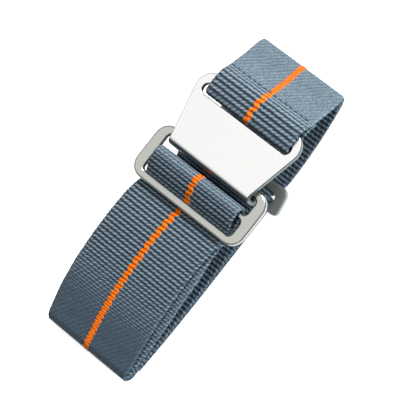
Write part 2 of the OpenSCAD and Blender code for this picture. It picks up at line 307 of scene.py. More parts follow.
under_line = through([(HOOK_SEAM_X + 0.3, HOOK_MID_Z - 2.05), (HOOK_RIGHT + 1.9, HOOK_MID_Z - 1.3),
                      (HOOK_RIGHT + 0.6, HOOK_MID_Z - WRAP_R - 0.02), (HOOK_RIGHT - 0.6, HOOK_MID_Z - WRAP_R),
                      (FOLD_X, HOOK_MID_Z - WRAP_R)])
front_line = through([(FOLD_X, HOOK_MID_Z + WRAP_R), (HOOK_RIGHT - 0.1, HOOK_MID_Z + WRAP_R),
                      (HOOK_RIGHT + 0.95, HOOK_MID_Z + WRAP_R - 0.35), FRONT_START, on_front(0.264, 0.332),
                      on_front(0.65, 0.731), FRONT_END, END_TOP])
hook_line = under_line + arc((FOLD_X, HOOK_MID_Z), WRAP_R, 261, 99, 24) + front_line
hook_line += arc((END_X, END_Z), END_R, 52, -62, 16)
back_line = [np.array((x, under_z(x) + HALF)) for x in np.arange(END_X - 0.2, SLIDER_RIGHT + 0.2, -0.25)]

# %% The left-hand end, where the webbing is double
LEFT_R = HALF + PLY_GAP
LEFT_X = -LOOP_L / 2 + LEFT_R + PITCH + HALF
LEFT_Z = under_z(LEFT_X) + LEFT_R + PITCH + HALF
RISE_START = np.array((LEFT_X + 0.6, LEFT_Z + LEFT_R + 0.07))
RISE_END = np.array((-6, RING_Z - 0.87))
RISE_SHARES = ((0.072, 0.079), (0.23, 0.297), (0.456, 0.625), (0.66, 0.866), (0.842, 0.997))

left_bottom = [np.array((x, under_z(x) + HALF + PITCH)) for x in np.arange(6, LEFT_X + 0.6, -0.25)]
left_top = through([RISE_START] + [RISE_START + share * (RISE_END - RISE_START) for share in RISE_SHARES]
                   + [RISE_END, (-3, RING_Z - 0.97)])
left_arc = arc((LEFT_X, LEFT_Z), LEFT_R, 264, 97, 18)

# %% The loop round the ring's centre bar
EYE_R = math.hypot(RING_CENTRE_BAR, RING_T) / 2 + WRAP_GAP / 2 + HALF
EYE = (RING_MID_X + 0.1, RING_MID_Z)
eye_start, eye_end = arc(EYE, EYE_R, 125, -97, 1)
ring_over = through([(-7, RING_Z - 0.14), (-6, RING_Z - 0.16), (-4.5, RING_Z - 0.2), (-3, RING_Z - 0.3),
                     (-1.5, RING_Z - 0.57), (-0.45, RING_Z - 0.52), (0.45, RING_Z + 0.05),
                     (1.3, RING_Z + 0.75), (RING_MID_X - 1.3, RING_MID_Z + 0.72), eye_start])
ring_under = through([eye_end, (1.6, RING_Z - 0.86), (0.4, RING_Z - 1.12), (-0.4, RING_Z - 1.25),
                      (-1.5, RING_Z - 1.28), (-3, RING_Z - 1.01), (-4.5, RING_Z - 0.91), (-6, RING_Z - 0.87)])

# %% The slider's two plies
BEND_R = WRAP_GAP + HALF
SLIDER_WRAP_R = SLIDER_T / 2 + WRAP_GAP + HALF
SLIDER_Z = SLIDER_L / 2 * math.sin(SLIDER_TILT) + (SLIDER_WRAP_R + HALF) * math.cos(SLIDER_TILT) + 0.15
THROUGH_GAP = PITCH + 0.03
tail_line = through(
    [(TAIL_CUT, HALF), (TAIL_CUT + 1, HALF), (SLIDER_X - SLIDER_L / 2 - 0.3, HALF + 0.02)]
    + on_slider([(-SLIDER_L / 2 + 0.9, -SLIDER_WRAP_R), (-SLIDER_SLOT / 2 - 0.1, -SLIDER_WRAP_R)]))
tail_line += on_slider(arc((-SLIDER_SLOT / 2, -SLIDER_T / 2), BEND_R, 270, 360, 9))
tail_line += on_slider(arc((-SLIDER_SLOT / 2, SLIDER_T / 2), BEND_R, 0, 90, 9))
tail_line += through(
    on_slider([(-SLIDER_SLOT / 2 - 0.1, SLIDER_WRAP_R), (-SLIDER_L / 2, SLIDER_WRAP_R)])
    + [(TAIL_END + 0.8, HALF + PITCH + 0.22), (TAIL_END, HALF + PITCH)])
through_line = through(
    [(SLIDER_LEFT, HALF + PITCH), (SLIDER_LEFT + 0.65, HALF + PITCH + 0.12),
     (TAIL_END - 0.45, HALF + 2 * PITCH - 0.1), (TAIL_END + 0.7, HALF + 2 * PITCH + 0.45)]
    + on_slider([(-SLIDER_L / 2, SLIDER_WRAP_R + THROUGH_GAP),
                 (-SLIDER_SLOT / 2 - 0.1, SLIDER_WRAP_R + THROUGH_GAP)]))
through_line += on_slider(arc((-SLIDER_SLOT / 2, SLIDER_T / 2), BEND_R + THROUGH_GAP, 90, 5, 12))
through_line += on_slider(arc((SLIDER_SLOT / 2, -SLIDER_T / 2), BEND_R + 0.05, 180, 225, 5))
through_line += through([(SLIDER_RIGHT - 2.2, HALF + 0.68), (SLIDER_RIGHT - 1, HALF + 0.12), (SLIDER_RIGHT, HALF)])

# %% Whole routes, each from one seam to the next
# The seams are out of sight: under the two ends, under the slider's raised bar and inside the loop at the ring.
# At a seam one length runs a little way into the next.
LEFT_SEAM_X, RIGHT_SEAM_X, UNDER_SLIDER_X, EYE_SEAM_X = -27, 27.5, 10.7, 0.6
SEAM_LAP = 0.3
FINE = 0.1
left_inner = left_bottom + left_arc + left_top
left_outer = beside(left_inner, PITCH)


def part_of(line, low_x, high_x):
    return [q for q in spaced(line, FINE)[0] if low_x < q[0] < high_x]


def split(line):
    """The part of a left-hand line on the back, up to the seam, and the rest of it."""
    line = spaced(line, FINE)[0]
    on_back = [q[1] < LEFT_Z and q[0] > LEFT_SEAM_X - SEAM_LAP for q in line]
    past_seam = [q[1] > LEFT_Z or q[0] < LEFT_SEAM_X + SEAM_LAP for q in line]
    return [q for q, kept in zip(line, on_back) if kept], [q for q, kept in zip(line, past_seam) if kept]


hook_route = hook_line + part_of(back_line, RIGHT_SEAM_X - SEAM_LAP, LOOP_L)
back_route = part_of(back_line, SLIDER_RIGHT, RIGHT_SEAM_X + SEAM_LAP)
back_route += part_of(through_line[::-1], UNDER_SLIDER_X - SEAM_LAP, SLIDER_RIGHT + SEAM_LAP)
outer_back, outer_front = split(left_outer)
inner_back, inner_front = split(left_inner)
outer_front_route = part_of(outer_front, -LOOP_L, -5.6) + part_of(ring_over, -5.3, RING_RIGHT)
outer_front_route += arc(EYE, EYE_R, 116, -88, 22) + part_of(ring_under, EYE_SEAM_X, RING_RIGHT)
inner_front_route = part_of(inner_front, -LOOP_L, -5.4) + part_of(ring_under[::-1], -5.2, EYE_SEAM_X)
outer_back_route = tail_line[::-1] + part_of(outer_back, -LOOP_L, TAIL_CUT - 0.2)
inner_back_route = part_of(through_line[::-1], SLIDER_LEFT - 0.01, UNDER_SLIDER_X)
inner_back_route += part_of(inner_back, -LOOP_L, SLIDER_LEFT - 0.2)
print("routes have", [len(r) for r in (hook_route, back_route, outer_front_route, inner_front_route)], "points")

# %% [markdown]
# Elastic webbing is woven over rubber cores that lie across the strap. Each core makes a round rib, and the warp
# yarns that cross it pull it into a row of small beads, like a rope. Where the strap is sewn or pressed flat the ribs
# close up and turn smooth. A rib follows a rule, so a Geometry Nodes tree sweeps a cross-section along the route and
# pushes its surface in and out. The script gives it the route as a line of points, which carry the rib count so far
# and the rib depth.

# %% The tree that sweeps and ribs a band
# How full a rib's cross-section is, how far a bead leans as it crosses the rib and how far each row of beads starts
# beyond the last, in beads, and the selvedge's distance from the edge and width
RIB_FULLNESS, BEAD_LEAN, ROW_SHIFT = 2.2, 0.55, 0.37
SELVEDGE_FROM_EDGE, SELVEDGE_W = 0.9, 0.7
CORNER_SHARE = 0.45
BAND_INPUTS = {
    "Width": ("NodeSocketFloat", WEB_W * MM), "Thickness": ("NodeSocketFloat", WEB_T * MM),
    "Lift": ("NodeSocketFloat", 0.0), "Across step": ("NodeSocketFloat", 0.16 * MM),
    "Bead length": ("NodeSocketFloat", 0.95 * MM), "Bead depth": ("NodeSocketFloat", 0.08 * MM),
    "Zigzag": ("NodeSocketFloat", 0.0), "Side step": ("NodeSocketFloat", 0.0),
    "Selvedge": ("NodeSocketFloat", 0.6), "Wander": ("NodeSocketFloat", 0.3),
    "Material": ("NodeSocketMaterial", None),
}


def make_band_tree():
    tree = bpy.data.node_groups.new("ribbed band", "GeometryNodeTree")
    sockets = tree.interface
    sockets.new_socket("Geometry", in_out="INPUT", socket_type="NodeSocketGeometry")
    for name, (kind, value) in BAND_INPUTS.items():
        socket = sockets.new_socket(name, in_out="INPUT", socket_type=kind)
        if value is not None:
            socket.default_value = value
    sockets.new_socket("Geometry", in_out="OUTPUT", socket_type="NodeSocketGeometry")
    given = add(tree, "NodeGroupInput")

    def maths(operation, a, b=0.0, c=0.0):
        return add(tree, "ShaderNodeMath", {0: a, 1: b, 2: c}, operation=operation)[0]

    phase = add(tree, "GeometryNodeInputNamedAttribute", {"Name": "phase"}, data_type="FLOAT")["Attribute"]
    depth = add(tree, "GeometryNodeInputNamedAttribute", {"Name": "depth"}, data_type="FLOAT")["Attribute"]
    widen = add(tree, "GeometryNodeInputNamedAttribute", {"Name": "widen"}, data_type="FLOAT")["Attribute"]
    sway = add(tree, "GeometryNodeInputNamedAttribute", {"Name": "sway"}, data_type="FLOAT")["Attribute"]

    route = add(tree, "GeometryNodeMeshToCurve", {"Mesh": given["Geometry"]})["Curve"]
    route = add(tree, "GeometryNodeSetCurveNormal", {"Curve": route, "Normal": (0, 1, 0)}, mode="FREE")["Curve"]

    outline = add(tree, "GeometryNodeCurvePrimitiveQuadrilateral",
                  {"Width": given["Width"], "Height": given["Thickness"]})["Curve"]
    corner = maths("MULTIPLY", given["Thickness"], CORNER_SHARE)
    outline = add(tree, "GeometryNodeFilletCurve", {"Curve": outline, "Radius": corner}, mode="BEZIER")["Curve"]
    outline = add(tree, "GeometryNodeResampleCurve", {"Curve": outline, "Length": given["Across step"]},
                  mode="LENGTH")["Curve"]
    raised = add(tree, "ShaderNodeCombineXYZ", {"Y": given["Lift"]})[0]
    outline = add(tree, "GeometryNodeSetPosition", {"Geometry": outline, "Offset": raised})["Geometry"]
    place = add(tree, "ShaderNodeSeparateXYZ", {0: add(tree, "GeometryNodeInputPosition")[0]})
    capture = tree.nodes.new("GeometryNodeCaptureAttribute")
    capture.capture_items.new("FLOAT", "across")
    tree.links.new(outline, capture.inputs["Geometry"])
    tree.links.new(place["X"], capture.inputs["across"])
    across = capture.outputs["across"]
    band = add(tree, "GeometryNodeCurveToMesh", {"Curve": route, "Profile Curve": capture.outputs["Geometry"],
                                                 "Fill Caps": True})["Mesh"]

    # A rib is nearly a half round from one groove to the next, and its beads lean like the strands of a rope
    side = maths("SIGN", across)
    shifted = maths("MULTIPLY_ADD", maths("MULTIPLY", side, given["Zigzag"]), 0.5, phase)
    cell = add(tree, "ShaderNodeCombineXYZ", {"X": maths("DIVIDE", across, MM), "Y": phase})[0]
    wander = add(tree, "ShaderNodeTexNoise", {"Vector": cell, "Scale": 0.9, "Detail": 2.0})["Fac"]
    shifted = maths("ADD", shifted, maths("MULTIPLY", maths("SUBTRACT", wander, 0.5), given["Wander"]))
    turn = maths("FRACT", shifted)
    from_top = maths("MULTIPLY_ADD", turn, 2.0, -1.0)
    rib = maths("SQRT", maths("SUBTRACT", 1.0, maths("POWER", maths("ABSOLUTE", from_top), RIB_FULLNESS)))
    edge_start = maths("MULTIPLY_ADD", given["Width"], 0.5, -SELVEDGE_FROM_EDGE * MM)
    edge = maths("DIVIDE", maths("SUBTRACT", maths("ABSOLUTE", across), edge_start), SELVEDGE_W * MM)
    edge = maths("MULTIPLY", maths("MINIMUM", maths("MAXIMUM", edge, 0.0), 1.0), given["Selvedge"])
    rib = add(tree, "ShaderNodeMix", {"Factor": edge, "A": rib, "B": 0.9})["Result"]
    row = maths("FLOOR", phase)
    bead_place = maths("ADD", maths("DIVIDE", across, given["Bead length"]), maths("MULTIPLY", row, ROW_SHIFT))
    bead_place = maths("MULTIPLY_ADD", from_top, BEAD_LEAN, bead_place)
    bead = maths("MULTIPLY_ADD", maths("COSINE", maths("MULTIPLY", bead_place, 2 * math.pi)), 0.5, 0.5)
    groove = maths("MULTIPLY", maths("SUBTRACT", rib, 1.0), depth)
    beads = maths("MULTIPLY", maths("SUBTRACT", bead, 1.0), given["Bead depth"])
    beads = maths("MULTIPLY", beads, maths("MULTIPLY_ADD", rib, 0.8, 0.2))
    height = maths("ADD", groove, beads)
    normal = add(tree, "GeometryNodeInputNormal")["Normal"]
    push = add(tree, "ShaderNodeVectorMath", {0: normal, "Scale": height}, operation="SCALE")["Vector"]
    shift = maths("MULTIPLY", maths("COSINE", maths("MULTIPLY", phase, math.pi)), given["Side step"])
    shift = maths("ADD", maths("MULTIPLY_ADD", across, widen, shift), sway)
    push = add(tree, "ShaderNodeVectorMath", {0: push, 1: add(tree, "ShaderNodeCombineXYZ", {"Y": shift})[0]},
               operation="ADD")["Vector"]
    band = add(tree, "GeometryNodeSetPosition", {"Geometry": band, "Offset": push})["Geometry"]
    for name, field in (("rib", rib), ("bead", bead), ("across", across)):
        band = add(tree, "GeometryNodeStoreNamedAttribute", {"Geometry": band, "Name": name, "Value": field},
                   data_type="FLOAT", domain="POINT")["Geometry"]
    band = add(tree, "GeometryNodeRealizeInstances", {"Geometry": band})["Geometry"]
    band = add(tree, "GeometryNodeSetMaterial", {"Geometry": band, "Material": given["Material"]})["Geometry"]
    add(tree, "NodeGroupOutput", {"Geometry": band})
    return tree


band_tree = make_band_tree()

# %% Functions that turn a route into a plain mesh
EASE_POINTS = 6


def plain_mesh(name, source, tree, values):
    """Runs a Geometry Nodes tree on a source mesh and keeps the result as a plain mesh object."""
    carrier = bpy.data.objects.new(name + "_source", source)
    bpy.context.scene.collection.objects.link(carrier)
    modifier = carrier.modifiers.new("nodes", "NODES")
    modifier.node_group = tree
    identifiers = {s.name: s.identifier for s in tree.interface.items_tree if s.in_out == "INPUT"}
    for key, value in values.items():
        modifier[identifiers[key]] = value
    evaluated = carrier.evaluated_get(bpy.context.evaluated_depsgraph_get())
    mesh = bpy.data.meshes.new_from_object(evaluated)
    mesh.name = name
    bpy.data.objects.remove(carrier)
    mesh.polygons.foreach_set("use_smooth", [True] * len(mesh.polygons))
    piece = bpy.data.objects.new(name, mesh)
    bpy.context.scene.collection.objects.link(piece)
    return piece


def eased(values, width):
    """A running mean, which rounds the corners between stretches of a route."""
    padded = np.concatenate([np.full(width, values[0]), values, np.full(width, values[-1])])
    return np.convolve(padded, np.ones(2 * width + 1) / (2 * width + 1), mode="valid")


def route_mesh(name, route, step, stops, least_depth=0.0):
    """A line of vertices in metres that carries the rib count, the rib depth and the rest of the stops' columns."""
    points, at = spaced(route, step)
    columns = np.array(stops, float).T
    pitches, depth, tone, widen, sway = [
        eased(np.interp(points[:, 0], columns[0], c), EASE_POINTS) for c in columns[1:]]
    count = np.concatenate([[0], np.cumsum(np.diff(at) / (pitches[1:] + pitches[:-1]) * 2)])
    phase = count * round(count[-1]) / count[-1]
    mesh = bpy.data.meshes.new(name + "_route")
    mesh.from_pydata([(x * MM, 0, z * MM) for x, z in points], [(i, i + 1) for i in range(len(points) - 1)], [])
    carried = {"phase": phase, "depth": np.maximum(depth, least_depth) * MM, "tone": tone, "widen": widen,
               "sway": sway * MM}
    for key, values in carried.items():
        mesh.attributes.new(key, "FLOAT", "POINT").data.foreach_set("value", values.astype(np.float32))
    print(name, "is", round(at[-1], 1), "mm long and has", int(phase[-1]), "ribs")
    return mesh


# %% [markdown]
# The webbing is polyester yarn over rubber, dyed grey-blue. Its light and shade are painted into the colour: the tops
# of the ribs and beads get a painted highlight, and the grooves between the ribs get painted shade, nearly navy. The
# colour follows the rib and the bead that the sweep wrote on the mesh, and fine stretched noise gives single fibres.

# %% Dyed polyester webbing
YARN = 0.16 * MM
CLOSED_DEPTH, OPEN_DEPTH = 0.04, 0.22
CROWN_SHARPNESS = 2.6
# How strongly the painted highlight lightens rib tops, bead tops and the beads of closed ribs, how much fibres lighten,
# and an overall darkening
RIB_LIGHTENS, BEAD_LIGHTENS, CLOSED_BEAD_LIGHTENS, FIBRE_LIGHTENS, ALL_DARKENS = 0.73, 0.22, 0.16, 0.55, 0.09


def make_webbing_material():
    material, tree = new_material("dyed polyester elastic webbing")
    rib = add(tree, "ShaderNodeAttribute", attribute_name="rib")["Fac"]
    bead = add(tree, "ShaderNodeAttribute", attribute_name="bead")["Fac"]
    depth = add(tree, "ShaderNodeAttribute", attribute_name="depth")["Fac"]
    tone = add(tree, "ShaderNodeAttribute", attribute_name="tone")["Fac"]
    place = add(tree, "ShaderNodeTexCoord")["Object"]
    stretched = add(tree, "ShaderNodeMapping", {"Vector": place, "Scale": (0.5, 1.6, 0.5)})["Vector"]
    fibre = add(tree, "ShaderNodeTexNoise", {"Vector": stretched, "Scale": 1 / YARN, "Detail": 3.0})["Fac"]
    # Painted highlight on the rib and bead tops; what the ramp leaves dark in the grooves is painted shade
    painted_crown_highlight = add(tree, "ShaderNodeMath", {0: rib, 1: CROWN_SHARPNESS}, operation="POWER")[0]
    painted_crown_highlight = add(tree, "ShaderNodeMath", {0: painted_crown_highlight, 1: RIB_LIGHTENS}, operation="MULTIPLY")[0]
    painted_crown_highlight = add(tree, "ShaderNodeMath", {0: bead, 1: BEAD_LIGHTENS, 2: painted_crown_highlight}, operation="MULTIPLY_ADD")[0]
    stood_open = add(tree, "ShaderNodeMapRange", {
        "Value": depth, "From Min": CLOSED_DEPTH * MM, "From Max": OPEN_DEPTH * MM,
        "To Min": 0.12, "To Max": 1.0})["Result"]
    # Closed ribs take their tone from the stops, and bead tops on them get a painted highlight
    closed = add(tree, "ShaderNodeMath", {0: bead, 1: CLOSED_BEAD_LIGHTENS, 2: tone}, operation="MULTIPLY_ADD")[0]
    top = add(tree, "ShaderNodeMix", {"Factor": stood_open, "A": closed, "B": painted_crown_highlight})["Result"]
    speckle = add(tree, "ShaderNodeMath", {0: fibre, 1: FIBRE_LIGHTENS, 2: top}, operation="MULTIPLY_ADD")[0]
    level_of = add(tree, "ShaderNodeMath", {0: speckle, 1: ALL_DARKENS}, operation="SUBTRACT")[0]
    colour = ramp_of(tree, level_of, (0.3, "#0b151f"), (0.6, "#21303f"), (0.88, "#485863"), (1.0, "#7b8d99"))
    bump = add(tree, "ShaderNodeBump", {"Height": fibre, "Strength": 0.5, "Distance": 0.04 * MM})["Normal"]
    surface = add(tree, "ShaderNodeBsdfPrincipled", {
        "Base Color": colour, "Roughness": 0.7, "Normal": bump, "Sheen Weight": 0.12, "Sheen Roughness": 0.4,
        "Specular IOR Level": 0.35})
    add(tree, "ShaderNodeOutputMaterial", {"Surface": surface[0]})
    return material


def make_stripe_material():
    material, tree = new_material("bright dyed polyester yarn")
    rib = add(tree, "ShaderNodeAttribute", attribute_name="rib")["Fac"]
    place = add(tree, "ShaderNodeTexCoord")["Object"]
    stretched = add(tree, "ShaderNodeMapping", {"Vector": place, "Scale": (0.5, 1.8, 0.5)})["Vector"]
    fibre = add(tree, "ShaderNodeTexNoise", {"Vector": stretched, "Scale": 1 / YARN, "Detail": 3.0})["Fac"]
    # Painted shade and highlight: following the rib, the stripe goes dark red-brown in the grooves and bright orange on
    # the rib tops
    level_of = add(tree, "ShaderNodeMath", {0: fibre, 1: 0.35, 2: rib}, operation="MULTIPLY_ADD")[0]
    level_of = add(tree, "ShaderNodeMath", {0: level_of, 1: 0.8}, operation="MULTIPLY")[0]
    colour = ramp_of(tree, level_of, (0.35, "#6e1a00"), (0.65, "#cc4c00"), (0.85, "#e36d00"), (1.0, "#f58800"))
    bump = add(tree, "ShaderNodeBump", {"Height": fibre, "Strength": 0.5, "Distance": 0.04 * MM})["Normal"]
    surface = add(tree, "ShaderNodeBsdfPrincipled", {
        "Base Color": colour, "Roughness": 0.7, "Normal": bump, "Specular IOR Level": 0.2})
    add(tree, "ShaderNodeOutputMaterial", {"Surface": surface[0]})
    return material


webbing_material = make_webbing_material()
stripe_material = make_stripe_material()

# %% [markdown]
# Ribs stand open where the strap is stretched round a bar and close where it is sewn, and at the two ends of the loop
# they are so fine that the surface looks like plain cloth.

# %% Ribs along the strap, in millimetres
# Each row is a place x, then the rib pitch, the rib depth, the paleness of closed ribs (a share, lowered where shade
# is painted), how much wider the webbing is pulled there (a share) and how far it lies to the side
HOOK_STOPS = ((17, 0.95, 0.28, 0.7, 0, -0.4), (20.3, 0.92, 0.28, 0.7, 0, -0.4), (21.5, 0.8, 0.18, 0.7, 0, -0.35),
              (22.8, 0.5, 0.06, 0.68, 0, -0.25), (24.5, 0.36, 0.03, 0.67, 0, -0.15), (29, 0.34, 0.03, 0.67, 0, 0),
              (30, 0.34, 0.03, 0.67, -0.035, 0))
BACK_STOPS = ((-30, 0.8, 0.22, 0.66, -0.035, 0), (-29, 0.8, 0.22, 0.66, 0, 0), (30, 0.8, 0.22, 0.66, 0, 0))
# Below x = -14 the paleness of closed ribs drops to paint shade on the end of the front that faces away from the key
# light
FRONT_STOPS = ((-30, 0.36, 0.05, 0.48, -0.035, 0), (-29, 0.36, 0.05, 0.46, -0.01, 0.05),
               (-27, 0.37, 0.05, 0.46, 0.01, 0.35), (-24, 0.4, 0.07, 0.48, 0.025, 0.8),
               (-19, 0.6, 0.14, 0.58, 0.035, 1.1), (-14, 0.78, 0.23, 0.66, 0.035, 1.1),
               (-9, 0.79, 0.24, 0.66, 0.03, 1.05), (-5, 0.8, 0.25, 0.66, 0.035, 0.9),
               (-1, 0.8, 0.25, 0.66, 0.02, 0.5), (0.3, 0.84, 0.27, 0.66, 0.02, 0.5),
               (2.2, 0.84, 0.27, 0.66, 0.02, 0.5), (3.6, 0.5, 0.1, 0.7, 0.02, 0.5), (5.5, 0.5, 0.1, 0.7, 0.02, 0.5))
INNER_STOPS = ((-30, 0.8, 0.22, 0.66, -0.035, 0), (-29, 0.8, 0.22, 0.66, -0.01, 0), (-24, 0.7, 0.16, 0.66, 0, -0.4),
               (-19, 0.6, 0.14, 0.66, 0, -0.6), (-9, 0.6, 0.14, 0.66, 0, -0.5), (-5, 0.8, 0.22, 0.66, 0, 0.1),
               (-1, 0.8, 0.22, 0.66, 0.02, 0.5), (5.5, 0.8, 0.22, 0.66, 0.02, 0.5))

# %% The six lengths of webbing
STEP = 0.12
COARSE_STEP = 0.16
LENGTHS = (
    ("hook_webbing", hook_route, STEP, HOOK_STOPS, ("hook_fold", "front_web", "end_fold")),
    ("back_webbing", back_route, COARSE_STEP, BACK_STOPS, ("back_web",)),
    ("outer_front_webbing", outer_front_route, STEP, FRONT_STOPS, ("outer_end_web", "ring_web")),
    ("inner_front_webbing", inner_front_route, COARSE_STEP, INNER_STOPS, ("inner_end_web",)),
    ("outer_back_webbing", outer_back_route, COARSE_STEP, BACK_STOPS, ("outer_back_web", "tail_fold")),
    ("inner_back_webbing", inner_back_route, COARSE_STEP, BACK_STOPS, ("inner_back_web", "slider_web")),
)


def blend_like(piece):
    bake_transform(piece)


sources = {}
for name, route, step, stops, nodes in LENGTHS:
    sources[name] = (route, stops)
    source = route_mesh(name, route, step, stops)
    piece = plain_mesh(name, source, band_tree, {"Material": webbing_material})
    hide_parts(*nodes)
    blend_like(piece)
    print(name, len(piece.data.polygons), "faces")

# %% [markdown]
# The centre stripe is its own yarn, woven over the ribs one bead at a time. The beads step a little from side to
# side, so the stripe zigzags. It is the same sweep with a narrow section that stands a little proud of the webbing's
# outer face.

# %% The centre stripe
STRIPE_W, STRIPE_T, STRIPE_SUNK = 1.3, 0.34, 0.12
STRIPE_STEP, STRIPE_ACROSS_STEP = 0.09, 0.08
STRIPE_LEAST_DEPTH = 0.1
STRIPES = (
    ("hook_stripe_yarn", "hook_webbing", ("hook_stripe", "front_stripe", "end_stripe")),
    ("back_stripe_yarn", "back_webbing", ("back_stripe",)),
    ("outer_front_stripe_yarn", "outer_front_webbing", ("outer_end_stripe", "ring_stripe")),
    ("outer_back_stripe_yarn", "outer_back_webbing", ("tail_stripe",)),
)
for name, along, nodes in STRIPES:
    route, stops = sources[along]
    source = route_mesh(name, route, STRIPE_STEP, stops, least_depth=STRIPE_LEAST_DEPTH)
    piece = plain_mesh(name, source, band_tree, {
        "Material": stripe_material, "Width": STRIPE_W * MM, "Thickness": STRIPE_T * MM,
        "Lift": (HALF - STRIPE_SUNK) * MM, "Across step": STRIPE_ACROSS_STEP * MM, "Bead length": 0.6 * MM,
        "Bead depth": 0.04 * MM, "Zigzag": 0.12, "Side step": 0.2 * MM, "Wander": 0.0, "Selvedge": 0.0})
    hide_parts(*nodes)
    blend_like(piece)

# %% [markdown]
# The fittings are stamped from stainless steel sheet, tumbled so that their edges are round, and given a fine satin
# finish. Polishing lines run across the strap, too fine to see one by one: they spread the highlights.

# %% Satin stainless steel


def make_steel_material(name, colour, edge_shade_colour, roughness):
    """Satin steel whose rounded edges and bends, by their slope, are painted darker than its flats: painted reflection
    and shade.
    """
    material, tree = new_material(name)
    place = add(tree, "ShaderNodeTexCoord")["Object"]
    slope = add(tree, "ShaderNodeSeparateXYZ", {"Vector": add(tree, "ShaderNodeTexCoord")["Normal"]})["Z"]
    flat = add(tree, "ShaderNodeMath", {0: slope}, operation="ABSOLUTE")[0]
    # Painted reflection and shade: faces that tilt away from flat go towards the darker edge colour
    tone = ramp_of(tree, flat, (0.8, edge_shade_colour), (0.985, colour))
    lines = add(tree, "ShaderNodeMapping", {"Vector": place, "Scale": (6.0, 0.6, 6.0)})["Vector"]
    grain = add(tree, "ShaderNodeTexNoise", {"Vector": lines, "Scale": 900.0, "Detail": 4.0})["Fac"]
    smear = add(tree, "ShaderNodeTexNoise", {"Vector": place, "Scale": 140.0, "Detail": 2.0})["Fac"]
    rough = add(tree, "ShaderNodeMapRange", {"Value": smear, "To Min": roughness - 0.05, "To Max": roughness + 0.07})
    bump = add(tree, "ShaderNodeBump", {"Height": grain, "Strength": 0.12, "Distance": 0.01 * MM})["Normal"]
    surface = add(tree, "ShaderNodeBsdfPrincipled", {
        "Base Color": tone, "Metallic": 1.0, "Roughness": rough["Result"], "Normal": bump})
    add(tree, "ShaderNodeOutputMaterial", {"Surface": surface[0]})
    return material


# The hook plate's near-white colour is a painted reflection of the bright overhead light, and the slider's slightly
# darker grey is painted shade; the ring's grey is the steel's own
plate_steel = make_steel_material("satin stainless steel", "#fdfdfb", "#6f787b", 0.3)
ring_steel = make_steel_material("tumbled stainless steel", "#c6c6c0", "#a9aba8", 0.22)
slider_steel = make_steel_material("tumbled stainless steel, darker", "#bfc3c2", "#bfc3c2", 0.5)

# %% Plates cut from sheet


def round_box(x0, x1, y0, y1, r, steps=8):
    """A closed outline with round corners, in millimetres."""
    corners = (((x1 - r, y1 - r), 0), ((x0 + r, y1 - r), 90), ((x0 + r, y0 + r), 180), ((x1 - r, y0 + r), 270))
    return [q for centre, start in corners for q in arc(centre, r, start, start + 90, steps)]


def sheet_mesh(name, outlines, thickness, edge_r, cuts=()):
    """A plate with holes and round edges, its middle at z = 0, from a filled flat curve with a round bevel."""
    curve = bpy.data.curves.new(name, "CURVE")
    curve.dimensions = "2D"
    curve.fill_mode = "BOTH"
    curve.extrude = thickness / 2 - edge_r
    curve.bevel_depth = edge_r
    curve.bevel_resolution = 4
    curve.offset = -edge_r
    for outline in outlines:
        spline = curve.splines.new("POLY")
        spline.points.add(len(outline) - 1)
        for point, (x, y) in zip(spline.points, outline):
            point.co = (x, y, 0, 1)
        spline.use_cyclic_u = True
    carrier = bpy.data.objects.new(name, curve)
    bpy.context.scene.collection.objects.link(carrier)
    plate = bpy.data.meshes.new_from_object(carrier.evaluated_get(bpy.context.evaluated_depsgraph_get()))
    bpy.data.objects.remove(carrier)
    work = bmesh.new()
    work.from_mesh(plate)
    bmesh.ops.remove_doubles(work, verts=work.verts, dist=1e-4)
    bmesh.ops.dissolve_limit(work, angle_limit=0.01, verts=work.verts, edges=work.edges)
    for cut in cuts:
        bmesh.ops.bisect_plane(work, geom=work.verts[:] + work.edges[:] + work.faces[:], plane_co=(cut, 0, 0),
                               plane_no=(1, 0, 0))
    bmesh.ops.recalc_face_normals(work, faces=work.faces)
    return work


def weighted_normals(mesh):
    """Vertex normals in which a big flat face counts for more than the narrow faces of its round edge."""
    normals = np.zeros((len(mesh.vertices), 3))
    for face in mesh.polygons:
        normals[list(face.vertices)] += np.array(face.normal) * face.area
    return normals / np.linalg.norm(normals, axis=1)[:, None]


def finished(name, work, material, node, body):
    """Turns a worked plate, in millimetres, into a piece that rides on one body."""
    for vertex in work.verts:
        vertex.co *= MM
    mesh = bpy.data.meshes.new(name)
    work.to_mesh(mesh)
    work.free()
    mesh.materials.append(material)
    mesh.polygons.foreach_set("use_smooth", [True] * len(mesh.polygons))
    mesh.normals_split_custom_set_from_vertices(weighted_normals(mesh))
    piece = bpy.data.objects.new(name, mesh)
    bpy.context.scene.collection.objects.link(piece)
    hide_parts(node)
    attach(piece, body)
    print(name, len(mesh.polygons), "faces")


# %% [markdown]
# The hook starts as a flat trapezoid with a slot. Its narrow end is then rolled over into the jaw, so the plate is
# cut and rounded flat first and bent after, as in the press: each point keeps its distance along the sheet and from
# its middle.

# %% The hook
HOOK_EDGE_R, RING_EDGE_R, SLIDER_EDGE_R = 0.28, 0.5, 0.35
LIP_CORNER_R, RING_WINDOW_R = 0.8, 0.8
BEND_PIECES = 8
BEND_MID_R = JAW_R - HOOK_T / 2
BEND_L = BEND_MID_R * math.pi / 2
WALL_L = 2 * HOOK_T + JAW_H - 2 * JAW_R
LIP_FLAT_L = JAW_LEFT + HOOK_T + LIP_L - HOOK_FLAT_X
SHEET_L = HOOK_L + 2 * BEND_L + WALL_L + LIP_FLAT_L


